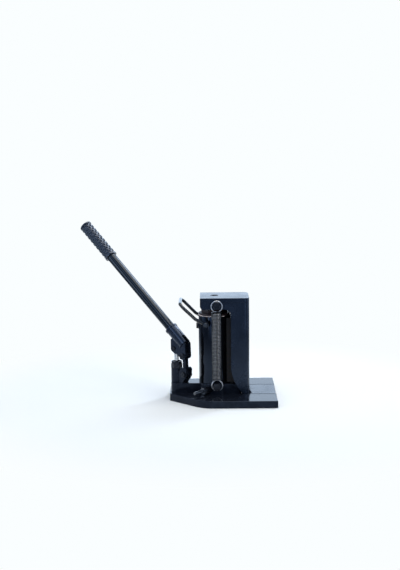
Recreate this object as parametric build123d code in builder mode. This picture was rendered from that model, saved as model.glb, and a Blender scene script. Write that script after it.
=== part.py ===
from build123d import *
from math import atan2, cos, degrees, hypot, radians, sin
import os

os.makedirs("parts", exist_ok=True)

# A hydraulic toe jack, in millimetres. X runs towards the toe, Y across the jack and Z up.
# The origin is where the ram's axis meets the floor. The jack stands at its lowest.

# Fits and gaps
running_clearance = 0.08
seat_clearance = 0.1
slide_clearance = 0.3
cheek_clearance = 0.8
edge_break = 1.0

# Fork base
plate_thickness = 19.0
plate_half_width = 135.0
plate_right = 163.0
shoulder_x = -30.0
shoulder_radius = 70.0
tail_left = -120.0
tail_half_width = 45.0
tail_radius = 8.0
deck_height = 43.0
pad_radius = 47.0
pad_block_right = 66.0
pad_block_half_width = 41.0
block_half_width = 28.5
cast_radius = 2.0

# Oil tank and pressure cylinder
tank_radius = 42.0
tank_wall = 3.5
tank_height = 182.0
gasket_thickness = 2.0
cylinder_bore = 50.0
cylinder_wall = 5.0
cylinder_seat = 29.0
cylinder_gasket = 1.5
tank_head_room = 11.0

# Ram and piston
ram_radius = 19.0
ram_spigot_radius = 12.0
piston_height = 28.0
piston_floor_gap = 1.0
piston_groove = 6.0
guide_length = 18.0

# Top cap
cap_flange = 4.5
cap_skirt_wall = 4.0
cap_skirt_length = 14.0
cap_hex_flats = 60.0
cap_hex_height = 10.0
wiper_radius = 24.0
wiper_depth = 5.0
wiper_lip = 1.5

# Lifting carriage
carriage_half_width = 52.0
carriage_wall = 10.0
head_left = -38.0
column_left = 43.5
column_right = 92.0
bend_radius = 14.0
head_rest_gap = 23.0
head_thickness = 12.0
skirt_drop = 18.0
skirt_corner_width = 4.0
skirt_corner_height = 7.0
cheek_root_radius = 18.0
cheek_foot_start = 83.0
cheek_foot_bulge = (57.8, 41.0)
cheek_foot_left = 74.5
toe_left = 72.5
toe_thickness = 18.0
toe_floor_gap = 1.0
toe_slot_clearance = 2.5
toe_corner_radius = 8.0
toe_seat_depth = 0.5
foot_fillet_width = 7.0
foot_fillet_height = 18.0
head_screw_radius = 6.0
head_screw_head_radius = 11.0
head_screw_length = 42.0
shoe_half_width = 30.0
shoe_bottom = 46.0
shoe_height = 174.0
shoe_screw_radius = 4.0
shoe_screw_z = 80.0
shoe_screw_spacing = 20.0

# Return springs and their shouldered screws
spring_x = 6.0
spring_wire = 3.5
spring_radius = 14.0
spring_loop_radius = 16.0
spring_offset = 58.0
spring_hang = 9.0
shoulder_screw_radius = 9.5
shoulder_screw_flats = 20.0
shoulder_screw_head = 7.0
shoulder_screw_thread = 5.0
shoulder_screw_grip = 7.5
spring_lug_width = 24.0
spring_lug_thickness = 8.0

# Pump
pump_x = -102.0
pump_boss_radius = 15.0
pump_boss_top = 80.0
plunger_radius = 6.0
pump_cylinder_radius = 10.0
pump_seat = 31.0
pump_hex_flats = 26.0
pump_hex_height = 12.0
gland_radius = 14.0
gland_height = 7.0
gland_cup_radius = 11.0
gland_cup_depth = 2.0
packing_radius = 9.0
packing_height = 6.0
plunger_bottom = 60.0

# Lever linkage: a link stands on the base lug and carries the socket, which drives the plunger.
# The whole linkage stands in one upright plane, turned about the pump's axis so that the handle
# points to the back left. Its sizes are taken along that plane, from the pump's axis.
pump_turn = 38.0
link_foot_out = 32.0
link_foot_z = 66.0
link_head_out = 29.5
link_head_z = 117.0
link_thickness = 12.0
link_foot_radius = 9.5
link_head_radius = 9.0
link_waist = 10.5
link_pin_radius = 5.0
eye_pin_z = 134.0
eye_pin_radius = 3.5
eye_play_across = 1.6
eye_play_up = 0.7
eye_wall = 3.6
cheek_thickness = 6.0
pin_head_radius = 7.5
pin_head_thickness = 3.0
pin_tail = 4.0
clip_thickness = 1.2
clip_width = 2.2

# Base lug for the link, cast as two octagonal ears
ear_left = 20.6
ear_right = 42.6
ear_top = 84.7
ear_corner = 4.0
ear_flat_bottom = 63.0
ear_neck_right = 28.5
ear_undercut = (34.5, 50.5)
ear_web_half_width = 8.0
ear_web_top = 74.0

# Handle socket and handle
handle_angle = 40.0
socket_mouth_out = -18.5
socket_mouth_z = 186.5
handle_radius = 12.7
handle_wall = 2.5
handle_reach = 399.0
socket_wall = 3.25
socket_depth = 38.5
socket_floor = 4.0
socket_length = 62.0
socket_bead = 1.4
socket_bead_width = 5.0
clevis_lobe_radius = 9.5
clevis_toe_radius = 10.5
clevis_corner_radius = 4.5
clevis_corner_rise = 22.0
clevis_relief = (7.0, 105.0)
clevis_relief_radius = 15.3
grip_length = 126.0
grip_radius = 15.75
grip_flange_radius = 17.25
grip_flange_width = 5.0
grip_end = 3.0

# Carry bail
bail_x = -22.8
bail_drop = 20.0
bail_half_span = 50.0
bail_corner_half_span = 57.0
bail_rod_radius = 4.35
bail_eye_radius = 8.0
bail_eye_thickness = 5.0
bail_bend = (-27.2, 15.0)
bail_corner = (-67.7, 55.0)
bail_bend_radius = 14.0
bail_corner_radius = 18.0
bail_lug_radius = 7.0
bail_screw_radius = 3.5
bail_screw_head_radius = 6.0
bail_screw_head = 3.5
bail_screw_thread = 8.0

# Filler plug
filler_drop = 30.0
filler_boss_radius = 9.0
filler_boss_out = 1.5
filler_hole_radius = 6.0
filler_head_radius = 8.0
filler_head = 4.7

# Release valve
valve_x = -17.0
valve_y = -45.7
valve_z = 29.0
valve_angle = 50.0
valve_boss_radius = 8.5
valve_boss_out = 7.0
valve_stem_radius = 4.5
valve_nut_flats = 16.0
valve_nut_height = 6.0
valve_collar_radius = 9.3
valve_collar_width = 10.0
valve_collar_gap = 1.0
valve_flutes = 8
valve_flute_radius = 1.8
valve_reach = 57.0
valve_depth = 16.0
valve_ball_radius = 3.0

# Check and overload valves, in a row along the back of the pump block
check_valve_x = -66.0
check_valve_spacing = 18.0
check_valve_z = 31.0
check_ball_radius = 4.0
check_bore_radius = 6.0
check_bore_depth = 24.0
check_plug_length = 10.0
check_plug_head_radius = 8.0
check_plug_head = 2.5
socket_drive_flats = 6.0

# Sizes that follow from the ones above
tank_top = deck_height + tank_height
cylinder_radius = cylinder_bore / 2 + cylinder_wall
cylinder_top = tank_top - tank_head_room
cap_seat = tank_top + cylinder_gasket
cap_top = cap_seat + cap_flange + cap_hex_height
head_underside = cap_top + head_rest_gap
head_top = head_underside + head_thickness
skirt_bottom = head_underside - skirt_drop
spring_low = deck_height
spring_high = head_underside - spring_hang
bail_z = tank_top - bail_drop
filler_z = tank_top - filler_drop
toe_top = toe_floor_gap + toe_thickness
toe_seat = toe_top - toe_seat_depth
piston_bottom = cylinder_seat + piston_floor_gap
piston_top = piston_bottom + piston_height
block_left = pump_x - pump_boss_radius
gap_half_width = link_thickness / 2 + cheek_clearance
clevis_half_width = gap_half_width + cheek_thickness
pump_hex_top = pump_boss_top + pump_hex_height
gland_top = pump_hex_top + gland_height
hook_drop = spring_loop_radius - spring_wire - shoulder_screw_radius - slide_clearance
low_screw_z = spring_low - hook_drop
high_screw_z = spring_high + hook_drop
screw_shoulder = spring_offset + spring_wire / 2 + cheek_clearance - carriage_half_width
slot_left = toe_left - toe_slot_clearance
turn_x = cos(radians(pump_turn))
turn_y = -sin(radians(pump_turn))
pump_plane = Plane(origin=(pump_x, 0, 0), x_dir=(turn_x, turn_y, 0), z_dir=(turn_y, -turn_x, 0))
handle_rise = sin(radians(handle_angle))
handle_run = cos(radians(handle_angle))
handle_frame = Plane(
    origin=(pump_x + turn_x * socket_mouth_out, turn_y * socket_mouth_out, socket_mouth_z),
    x_dir=(turn_x * handle_rise, turn_y * handle_rise, handle_run),
    z_dir=(-turn_x * handle_run, -turn_y * handle_run, handle_rise),
)
valve_turn = radians(valve_angle)
valve_frame = Plane(
    origin=(valve_x, valve_y, valve_z),
    x_dir=(0, 0, 1),
    z_dir=(-cos(valve_turn), -sin(valve_turn), 0),
)
check_places = [check_valve_x + step * check_valve_spacing for step in (-1, 0, 1)]


def facing(side, x, y, z):
    """A plane on one side of the jack, whose normal points away from the middle."""
    return Plane(origin=(x, side * y, z), x_dir=(1, 0, 0), z_dir=(0, side, 0))


def save(piece, name):
    """Gives a finished piece its name and writes it."""
    piece.part.label = name
    export_step(piece.part, f"parts/{name}.step")


# Base: one casting with the fork plate, the tank pad, the pump block, its boss and its lugs
with BuildPart() as base_casting:
    with BuildSketch(Plane.XY) as fork_plan:
        with BuildLine():
            Polyline(
                (plate_right, plate_half_width),
                (shoulder_x, plate_half_width),
                (tail_left, tail_half_width),
                (tail_left, -tail_half_width),
                (shoulder_x, -plate_half_width),
                (plate_right, -plate_half_width),
                close=True,
            )
        make_face()
        fillet(fork_plan.vertices().group_by(Axis.X)[1], radius=shoulder_radius)
        fillet(fork_plan.vertices().group_by(Axis.X)[0], radius=tail_radius)
        slot_length = plate_right - slot_left + 2 * toe_corner_radius
        with Locations((slot_left + slot_length / 2, 0)):
            RectangleRounded(
                slot_length,
                2 * (carriage_half_width + toe_slot_clearance),
                toe_corner_radius,
                mode=Mode.SUBTRACT,
            )
    extrude(amount=plate_thickness)
    chamfer(base_casting.faces().sort_by(Axis.Z)[-1].edges(), length=edge_break)
    # Tank pad and pump block, cast on the plate, with a rounded left end
    with BuildSketch(Plane.XY.offset(plate_thickness)) as deck_plan:
        with Locations((block_left / 2, 0)):
            Rectangle(-block_left, 2 * block_half_width)
        fillet(deck_plan.vertices().group_by(Axis.X)[0], radius=pump_boss_radius)
        Circle(pad_radius)
        with Locations((pad_block_right / 2, 0)):
            Rectangle(pad_block_right, 2 * pad_block_half_width)
    extrude(amount=deck_height - plate_thickness)
    fillet(base_casting.faces().sort_by(Axis.Z)[-1].edges(), radius=cast_radius)
    # Boss of the pump cylinder
    with BuildSketch(Plane.XY.offset(deck_height)):
        with Locations((pump_x, 0)):
            Circle(pump_boss_radius)
    extrude(amount=pump_boss_top - deck_height)
    # Lug that carries the link, octagonal and undercut towards the tank
    with BuildSketch(pump_plane):
        with BuildLine():
            Polyline(
                (ear_left, deck_height - cast_radius),
                (ear_left, ear_top - ear_corner),
                (ear_left + ear_corner, ear_top),
                (ear_right - ear_corner, ear_top),
                (ear_right, ear_top - ear_corner),
                (ear_right, ear_flat_bottom),
                ear_undercut,
                (ear_neck_right, deck_height),
                (ear_neck_right, deck_height - cast_radius),
                close=True,
            )
        make_face()
    extrude(amount=clevis_half_width, both=True)
    gap_left = link_foot_out - link_foot_radius - cheek_clearance
    gap_bottom = link_foot_z - link_foot_radius - cheek_clearance
    # Web between the boss and the lug
    with BuildSketch(pump_plane):
        with Locations((gap_left, deck_height - cast_radius)):
            Rectangle(
                gap_left - pump_cylinder_radius,
                ear_web_top - deck_height + cast_radius,
                align=(Align.MAX, Align.MIN),
            )
    extrude(amount=ear_web_half_width, both=True)
    with BuildSketch(pump_plane):
        with Locations((gap_left, gap_bottom)):
            Rectangle(
                ear_right - gap_left + edge_break,
                ear_top - gap_bottom + edge_break,
                align=(Align.MIN, Align.MIN),
            )
    extrude(amount=gap_half_width, both=True, mode=Mode.SUBTRACT)
    with BuildSketch(pump_plane):
        with Locations((link_foot_out, link_foot_z)):
            Circle(link_pin_radius + seat_clearance)
    extrude(amount=clevis_half_width + edge_break, both=True, mode=Mode.SUBTRACT)
    # Lugs at both sides of the pad for the lower spring screws
    for side in (-1, 1):
        with BuildSketch(facing(side, spring_x, carriage_half_width - spring_lug_thickness, 0)):
            with Locations((0, -side * low_screw_z)):
                Circle(spring_lug_width / 2)
            with Locations((0, -side * (plate_thickness + low_screw_z) / 2)):
                Rectangle(spring_lug_width, low_screw_z - plate_thickness)
        extrude(amount=spring_lug_thickness)
        with BuildSketch(facing(side, spring_x, carriage_half_width, low_screw_z)):
            Circle(shoulder_screw_thread + seat_clearance)
        extrude(amount=-spring_lug_thickness, mode=Mode.SUBTRACT)
    # Boss of the release valve
    with BuildSketch(valve_frame.offset(-pad_radius / 4)):
        Circle(valve_boss_radius)
    extrude(amount=valve_boss_out + pad_radius / 4)
    with BuildSketch(valve_frame.offset(valve_boss_out)):
        Circle(valve_stem_radius + seat_clearance)
    extrude(amount=-valve_boss_out - valve_depth, mode=Mode.SUBTRACT)
    # Seats of the pressure cylinder, the tank and the pump cylinder
    with BuildSketch(Plane.XY.offset(deck_height)):
        Circle(cylinder_radius + seat_clearance)
    extrude(amount=cylinder_seat - deck_height, mode=Mode.SUBTRACT)
    with BuildSketch(Plane.XY.offset(deck_height)):
        Circle(tank_radius + seat_clearance)
        Circle(tank_radius - tank_wall - seat_clearance, mode=Mode.SUBTRACT)
    extrude(amount=-gasket_thickness, mode=Mode.SUBTRACT)
    with BuildSketch(Plane.XY.offset(pump_boss_top)):
        with Locations((pump_x, 0)):
            Circle(pump_cylinder_radius + seat_clearance)
    extrude(amount=pump_seat - pump_boss_top, mode=Mode.SUBTRACT)
    # Bores of the three valves, drilled from the back of the block
    for place in check_places:
        with BuildSketch(facing(1, place, block_half_width, check_valve_z)):
            Circle(check_bore_radius + seat_clearance)
        extrude(amount=-check_bore_depth, mode=Mode.SUBTRACT)
save(base_casting, "base_casting")

# Pressure cylinder: a honed tube that stands in the pad
with BuildPart() as pressure_cylinder:
    with BuildSketch(Plane.XY.offset(cylinder_seat + cylinder_gasket)):
        Circle(cylinder_radius)
        Circle(cylinder_bore / 2, mode=Mode.SUBTRACT)
    extrude(amount=cylinder_top - cylinder_seat - cylinder_gasket)
save(pressure_cylinder, "pressure_cylinder")

with BuildPart() as cylinder_washer:
    with BuildSketch(Plane.XY.offset(cylinder_seat)):
        Circle(cylinder_radius - seat_clearance)
        Circle(cylinder_bore / 2 + seat_clearance, mode=Mode.SUBTRACT)
    extrude(amount=cylinder_gasket)
save(cylinder_washer, "cylinder_washer")

# Oil tank: a round tube with a filler boss at the left and two lugs for the carry bail
lug_face = bail_half_span - bail_eye_thickness / 2 - slide_clearance
with BuildPart() as oil_tank:
    with BuildSketch(Plane.XY.offset(deck_height)):
        Circle(tank_radius)
    extrude(amount=tank_height)
    with BuildSketch(Plane.YZ.offset(-tank_radius - filler_boss_out)):
        with Locations((0, filler_z)):
            Circle(filler_boss_radius)
    extrude(amount=tank_radius / 2)
    for side in (-1, 1):
        with BuildSketch(facing(side, bail_x, lug_face, bail_z)):
            Circle(bail_lug_radius)
        extrude(amount=-tank_radius / 2)
    with BuildSketch(Plane.XY.offset(deck_height)):
        Circle(tank_radius - tank_wall)
    extrude(amount=tank_height, mode=Mode.SUBTRACT)
    with BuildSketch(Plane.YZ.offset(-tank_radius - filler_boss_out)):
        with Locations((0, filler_z)):
            Circle(filler_hole_radius + seat_clearance)
    extrude(amount=tank_radius / 2, mode=Mode.SUBTRACT)
    for side in (-1, 1):
        with BuildSketch(facing(side, bail_x, lug_face, bail_z)):
            Circle(bail_screw_radius + seat_clearance)
        extrude(amount=-bail_screw_thread, mode=Mode.SUBTRACT)
save(oil_tank, "oil_tank")

# Flat rings that seal both ends of the tank
with BuildPart() as tank_gaskets:
    upper_ring = (tank_top, cylinder_gasket)
    for bottom, thickness in ((deck_height - gasket_thickness, gasket_thickness), upper_ring):
        with BuildSketch(Plane.XY.offset(bottom)):
            Circle(tank_radius - seat_clearance)
            Circle(tank_radius - tank_wall + seat_clearance, mode=Mode.SUBTRACT)
        extrude(amount=thickness)
save(tank_gaskets, "tank_gaskets")

# Top cap: closes the tank, is screwed on the pressure cylinder and lets the ram through
with BuildPart() as top_cap:
    with BuildSketch(Plane.XY.offset(cap_seat)):
        Circle(tank_radius)
    extrude(amount=cap_flange)
    chamfer(top_cap.faces().sort_by(Axis.Z)[-1].edges(), length=edge_break)
    with BuildSketch(Plane.XY.offset(cap_seat + cap_flange)):
        RegularPolygon(radius=cap_hex_flats / 2, side_count=6, major_radius=False)
    extrude(amount=cap_hex_height)
    chamfer(top_cap.faces().sort_by(Axis.Z)[-1].edges(), length=edge_break)
    with BuildSketch(Plane.XY.offset(cap_seat)):
        Circle(tank_radius - tank_wall - slide_clearance)
    extrude(amount=cylinder_top - cap_seat)
    with BuildSketch(Plane.XY.offset(cylinder_top)):
        Circle(cylinder_radius + seat_clearance + cap_skirt_wall)
        Circle(cylinder_radius + seat_clearance, mode=Mode.SUBTRACT)
    extrude(amount=-cap_skirt_length)
    with BuildSketch(Plane.XY.offset(cap_top)):
        Circle(ram_radius + running_clearance)
    extrude(amount=cylinder_top - cap_top, mode=Mode.SUBTRACT)
    with BuildSketch(Plane.XY.offset(cap_top)):
        Circle(wiper_radius + seat_clearance)
    extrude(amount=-wiper_depth, mode=Mode.SUBTRACT)
save(top_cap, "top_cap")

with BuildPart() as rod_wiper:
    with BuildSketch(Plane.XY.offset(cap_top - wiper_depth)):
        Circle(wiper_radius)
        Circle(ram_radius + slide_clearance, mode=Mode.SUBTRACT)
    extrude(amount=wiper_depth + wiper_lip)
    chamfer(rod_wiper.faces().sort_by(Axis.Z)[-1].edges(), length=edge_break)
save(rod_wiper, "rod_wiper")

# Bronze bush that guides the ram at the top of the cylinder
with BuildPart() as ram_guide:
    with BuildSketch(Plane.XY.offset(cylinder_top - guide_length)):
        Circle(cylinder_bore / 2 - seat_clearance)
        Circle(ram_radius + running_clearance, mode=Mode.SUBTRACT)
    extrude(amount=guide_length)
save(ram_guide, "ram_guide")

# Ram: a ground rod with a spigot for the piston and a threaded hole under the head screw
with BuildPart() as ram:
    with BuildSketch(Plane.XY.offset(piston_top)):
        Circle(ram_radius)
    extrude(amount=head_underside - piston_top)
    with BuildSketch(Plane.XY.offset(piston_top)):
        Circle(ram_spigot_radius)
    extrude(amount=piston_groove - piston_height)
    with BuildSketch(Plane.XY.offset(head_underside)):
        Circle(head_screw_radius + seat_clearance)
    extrude(amount=-head_screw_length, mode=Mode.SUBTRACT)
save(ram, "ram")

with BuildPart() as piston:
    with BuildSketch(Plane.XY.offset(piston_bottom)):
        Circle(cylinder_bore / 2 - running_clearance)
    extrude(amount=piston_height)
    with BuildSketch(Plane.XY.offset(piston_top)):
        Circle(ram_spigot_radius + seat_clearance)
    extrude(amount=piston_groove - piston_height, mode=Mode.SUBTRACT)
    with BuildSketch(Plane.XY.offset(piston_bottom + piston_height / 2)):
        Circle(cylinder_bore / 2)
        Circle(ram_radius, mode=Mode.SUBTRACT)
    extrude(amount=piston_groove, mode=Mode.SUBTRACT)
save(piston, "piston")

with BuildPart() as piston_seal:
    with BuildSketch(Plane.XY.offset(piston_bottom + piston_height / 2 + seat_clearance)):
        Circle(cylinder_bore / 2 - slide_clearance)
        Circle(ram_radius + seat_clearance, mode=Mode.SUBTRACT)
    extrude(amount=piston_groove - 2 * seat_clearance)
save(piston_seal, "piston_seal")

# Head plate: welded on the bent channel, countersunk over the ram
with BuildPart() as head_plate:
    with BuildSketch(Plane.XY.offset(head_underside)) as head_plan:
        with Locations(((head_left + column_right) / 2, 0)):
            Rectangle(column_right - head_left, 2 * carriage_half_width)
        fillet(head_plan.vertices().group_by(Axis.X)[-1], radius=bend_radius)
    extrude(amount=head_thickness)
    chamfer(head_plate.faces().sort_by(Axis.Z)[-1].edges(), length=edge_break)
    with Locations((0, 0, head_top)):
        CounterSinkHole(
            radius=head_screw_radius + seat_clearance,
            counter_sink_radius=head_screw_head_radius + seat_clearance,
        )
save(head_plate, "head_plate")

with BuildPart() as head_screw:
    head_cone = head_screw_head_radius - head_screw_radius
    with BuildSketch(Plane.XZ):
        with BuildLine():
            Polyline(
                (0, head_top - edge_break),
                (head_screw_head_radius - edge_break, head_top - edge_break),
                (head_screw_radius, head_top - edge_break - head_cone + edge_break),
                (head_screw_radius, head_top - head_screw_length),
                (0, head_top - head_screw_length),
                close=True,
            )
        make_face()
    revolve(axis=Axis.Z)
    with BuildSketch(Plane.XY.offset(head_top - edge_break)):
        RegularPolygon(radius=socket_drive_flats / 2, side_count=6, major_radius=False)
    extrude(amount=-head_cone, mode=Mode.SUBTRACT)
save(head_screw, "head_screw")

# Lifting column: heavy plate bent to a channel, cut away below the head so that it clears
# the tank, with a swept foot on the toe
with BuildPart() as lifting_column:
    with BuildSketch(Plane.XY.offset(toe_seat)) as channel_plan:
        with Locations(((head_left + column_right) / 2, 0)):
            Rectangle(column_right - head_left, 2 * carriage_half_width)
        fillet(channel_plan.vertices().group_by(Axis.X)[-1], radius=bend_radius)
        inner_right = column_right - carriage_wall
        inner_length = inner_right - head_left + bend_radius
        with Locations((inner_right - inner_length / 2, 0)):
            RectangleRounded(
                inner_length,
                2 * (carriage_half_width - carriage_wall),
                bend_radius - carriage_wall,
                mode=Mode.SUBTRACT,
            )
    extrude(amount=head_underside - toe_seat)
    root_x = column_left - cheek_root_radius
    root_z = skirt_bottom - cheek_root_radius
    arc_share = cheek_root_radius * cos(radians(45))
    far_left = head_left - bend_radius
    far_low = toe_top - bend_radius
    with BuildSketch(Plane.XZ):
        with BuildLine():
            Polyline(
                (far_left, far_low),
                (far_left, skirt_bottom + skirt_corner_height),
                (head_left, skirt_bottom + skirt_corner_height),
                (head_left + skirt_corner_width, skirt_bottom),
                (root_x, skirt_bottom),
            )
            ThreePointArc(
                (root_x, skirt_bottom),
                (root_x + arc_share, root_z + arc_share),
                (column_left, root_z),
            )
            Line((column_left, root_z), (column_left, cheek_foot_start))
            ThreePointArc((column_left, cheek_foot_start), cheek_foot_bulge, (cheek_foot_left, toe_top))
            Polyline((cheek_foot_left, toe_top), (cheek_foot_left, far_low), (far_left, far_low))
        make_face()
    extrude(amount=carriage_half_width + edge_break, both=True, mode=Mode.SUBTRACT)
    for side in (-1, 1):
        with BuildSketch(facing(side, spring_x, carriage_half_width, high_screw_z)):
            Circle(shoulder_screw_thread + seat_clearance)
        extrude(amount=-carriage_wall, mode=Mode.SUBTRACT)
    for step in (-1, 1):
        screw_z = shoe_screw_z + step * shoe_screw_spacing / 2
        with Locations(Plane(origin=(column_right, 0, screw_z), z_dir=(1, 0, 0))):
            CounterSinkHole(
                radius=shoe_screw_radius + seat_clearance,
                counter_sink_radius=2 * shoe_screw_radius + seat_clearance,
                depth=carriage_wall,
            )
save(lifting_column, "lifting_column")

# Toe: a plate that drops into the slot of the fork, milled where the column stands, with the
# swept weld to the column
with BuildPart() as toe_plate:
    with BuildSketch(Plane.XY.offset(toe_floor_gap)) as toe_plan:
        with Locations(((toe_left + plate_right) / 2, 0)):
            Rectangle(plate_right - toe_left, 2 * carriage_half_width)
        fillet(toe_plan.vertices().group_by(Axis.X)[0], radius=toe_corner_radius)
    extrude(amount=toe_thickness)
    chamfer(toe_plate.edges().filter_by(Axis.Y).group_by(Axis.X)[-1], length=2 * edge_break)
    with BuildSketch(Plane.XY.offset(toe_top)):
        with Locations((column_right, 0)):
            Rectangle(
                column_right - toe_left,
                2 * carriage_half_width,
                align=(Align.MAX, Align.CENTER),
            )
    extrude(amount=-toe_seat_depth, mode=Mode.SUBTRACT)
    with BuildSketch(Plane.XZ):
        with BuildLine():
            Polyline(
                (column_right + foot_fillet_width, toe_top),
                (column_right + foot_fillet_width, toe_top - edge_break),
                (column_right, toe_top - edge_break),
                (column_right, toe_top + foot_fillet_height),
            )
            ThreePointArc(
                (column_right, toe_top + foot_fillet_height),
                (column_right + foot_fillet_width / 4, toe_top + foot_fillet_height / 3),
                (column_right + foot_fillet_width, toe_top),
            )
        make_face()
    extrude(amount=carriage_half_width - bend_radius, both=True)
save(toe_plate, "toe_plate")

# Guide shoe: bears on the tank low down, against the tilt that a load on the toe brings
with BuildPart() as guide_shoe:
    with BuildSketch(Plane.XY.offset(shoe_bottom)):
        with Locations((column_right - carriage_wall, 0)):
            Rectangle(
                column_right - carriage_wall,
                2 * shoe_half_width,
                align=(Align.MAX, Align.CENTER),
            )
        Circle(tank_radius + slide_clearance, mode=Mode.SUBTRACT)
        with Locations((0, 0)):
            Rectangle(
                2 * (tank_radius - carriage_wall),
                4 * shoe_half_width,
                mode=Mode.SUBTRACT,
            )
    extrude(amount=shoe_height)
    for step in (-1, 1):
        screw_z = shoe_screw_z + step * shoe_screw_spacing / 2
        with BuildSketch(Plane.YZ.offset(column_right - carriage_wall)):
            with Locations((0, screw_z)):
                Circle(shoe_screw_radius + seat_clearance)
        extrude(amount=-2 * carriage_wall, mode=Mode.SUBTRACT)
save(guide_shoe, "guide_shoe")

with BuildPart() as guide_shoe_screws:
    for step in (-1, 1):
        screw_z = shoe_screw_z + step * shoe_screw_spacing / 2
        with BuildSketch(Plane.XZ):
            with BuildLine():
                Polyline(
                    (column_right, screw_z),
                    (column_right, screw_z + 2 * shoe_screw_radius - edge_break),
                    (column_right - shoe_screw_radius + edge_break, screw_z + shoe_screw_radius),
                    (column_right - 3 * carriage_wall + edge_break, screw_z + shoe_screw_radius),
                    (column_right - 3 * carriage_wall + edge_break, screw_z),
                    close=True,
                )
            make_face()
        revolve(axis=Axis((0, 0, screw_z), (1, 0, 0)))
save(guide_shoe_screws, "guide_shoe_screws")


def spring_screws(screw_z):
    """Shouldered hexagon screws at both sides, each holding one hook of a return spring."""
    with BuildPart() as screws:
        for side in (-1, 1):
            seat = facing(side, spring_x, carriage_half_width, screw_z)
            with BuildSketch(seat):
                Circle(shoulder_screw_thread)
            extrude(amount=-shoulder_screw_grip)
            with BuildSketch(seat):
                Circle(shoulder_screw_radius)
            extrude(amount=screw_shoulder)
            with BuildSketch(seat.offset(screw_shoulder)):
                RegularPolygon(radius=shoulder_screw_flats / 2, side_count=6, major_radius=False)
            extrude(amount=shoulder_screw_head)
            chamfer(screws.faces().sort_by(Axis.Y)[0 if side < 0 else -1].edges(), length=edge_break)
    return screws


save(spring_screws(high_screw_z), "upper_spring_screws")
save(spring_screws(low_screw_z), "lower_spring_screws")


def return_spring(side):
    """A close-wound tension spring: its touching coils drawn as one sleeve, with a full hook
    loop standing along the sleeve's axis at each end."""
    loop_radius = spring_loop_radius - spring_wire / 2
    body_low = spring_low + loop_radius
    body_high = spring_high - loop_radius
    with BuildPart() as spring:
        with BuildSketch(Plane.XY.offset(body_low)):
            with Locations((spring_x, side * spring_offset)):
                Circle(spring_radius)
        extrude(amount=body_high - body_low)
        with BuildSketch(Plane.XY.offset(body_low + spring_wire)):
            with Locations((spring_x, side * spring_offset)):
                Circle(spring_radius - spring_wire)
        extrude(amount=body_high - body_low - 2 * spring_wire, mode=Mode.SUBTRACT)
        for centre in (spring_low, spring_high):
            with BuildSketch(Plane.XY.offset(centre)):
                with Locations((spring_x + loop_radius, side * spring_offset)):
                    Circle(spring_wire / 2)
            revolve(axis=Axis((spring_x, side * spring_offset, centre), (0, 1, 0)))
    return spring


save(return_spring(-1), "front_return_spring")
save(return_spring(1), "rear_return_spring")

# Pump cylinder, screwed into the boss, with a hexagon above it
with BuildPart() as pump_cylinder:
    with BuildSketch(Plane.XY.offset(pump_seat)):
        with Locations((pump_x, 0)):
            Circle(pump_cylinder_radius)
    extrude(amount=pump_boss_top - pump_seat)
    with BuildSketch(Plane.XY.offset(pump_boss_top)):
        with Locations((pump_x, 0)):
            RegularPolygon(radius=pump_hex_flats / 2, side_count=6, major_radius=False)
    extrude(amount=pump_hex_height)
    with BuildSketch(Plane.XY.offset(pump_hex_top)):
        with Locations((pump_x, 0)):
            Circle(plunger_radius + running_clearance)
    extrude(amount=pump_seat - pump_hex_top + spring_wire, mode=Mode.SUBTRACT)
    with BuildSketch(Plane.XY.offset(pump_hex_top)):
        with Locations((pump_x, 0)):
            Circle(packing_radius + seat_clearance)
    extrude(amount=-packing_height, mode=Mode.SUBTRACT)
save(pump_cylinder, "pump_cylinder")

with BuildPart() as pump_packing:
    with BuildSketch(Plane.XY.offset(pump_hex_top - packing_height)):
        with Locations((pump_x, 0)):
            Circle(packing_radius)
            Circle(plunger_radius + slide_clearance, mode=Mode.SUBTRACT)
    extrude(amount=packing_height)
save(pump_packing, "pump_packing")

# Gland nut with a cupped top round the plunger
with BuildPart() as gland_nut:
    with BuildSketch(Plane.XY.offset(pump_hex_top)):
        with Locations((pump_x, 0)):
            Circle(gland_radius)
            Circle(plunger_radius + running_clearance, mode=Mode.SUBTRACT)
    extrude(amount=gland_height)
    with BuildSketch(Plane.XY.offset(gland_top)):
        with Locations((pump_x, 0)):
            Circle(gland_cup_radius)
    extrude(amount=-gland_cup_depth, mode=Mode.SUBTRACT)
    chamfer(gland_nut.faces().sort_by(Axis.Z)[-1].edges(), length=edge_break)
save(gland_nut, "gland_nut")

# Plunger with a flat eye; the eye's hole is slotted across, because the socket swings the pin
with BuildPart() as pump_plunger:
    eye_half_height = eye_pin_radius + eye_play_up + eye_wall
    with BuildSketch(Plane.XY.offset(plunger_bottom)):
        with Locations((pump_x, 0)):
            Circle(plunger_radius)
    extrude(amount=eye_pin_z - eye_half_height - plunger_bottom)
    with BuildSketch(pump_plane):
        with Locations((0, eye_pin_z)):
            SlotCenterToCenter(2 * (eye_play_across - eye_play_up), 2 * eye_half_height)
        with Locations((0, eye_pin_z - eye_half_height / 2)):
            Rectangle(2 * plunger_radius - edge_break, eye_half_height + edge_break)
    extrude(amount=plunger_radius - edge_break / 2, both=True)
    with BuildSketch(pump_plane):
        with Locations((0, eye_pin_z)):
            SlotCenterToCenter(
                2 * (eye_play_across - eye_play_up), 2 * (eye_pin_radius + eye_play_up)
            )
    extrude(amount=plunger_radius, both=True, mode=Mode.SUBTRACT)
save(pump_plunger, "pump_plunger")

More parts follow.
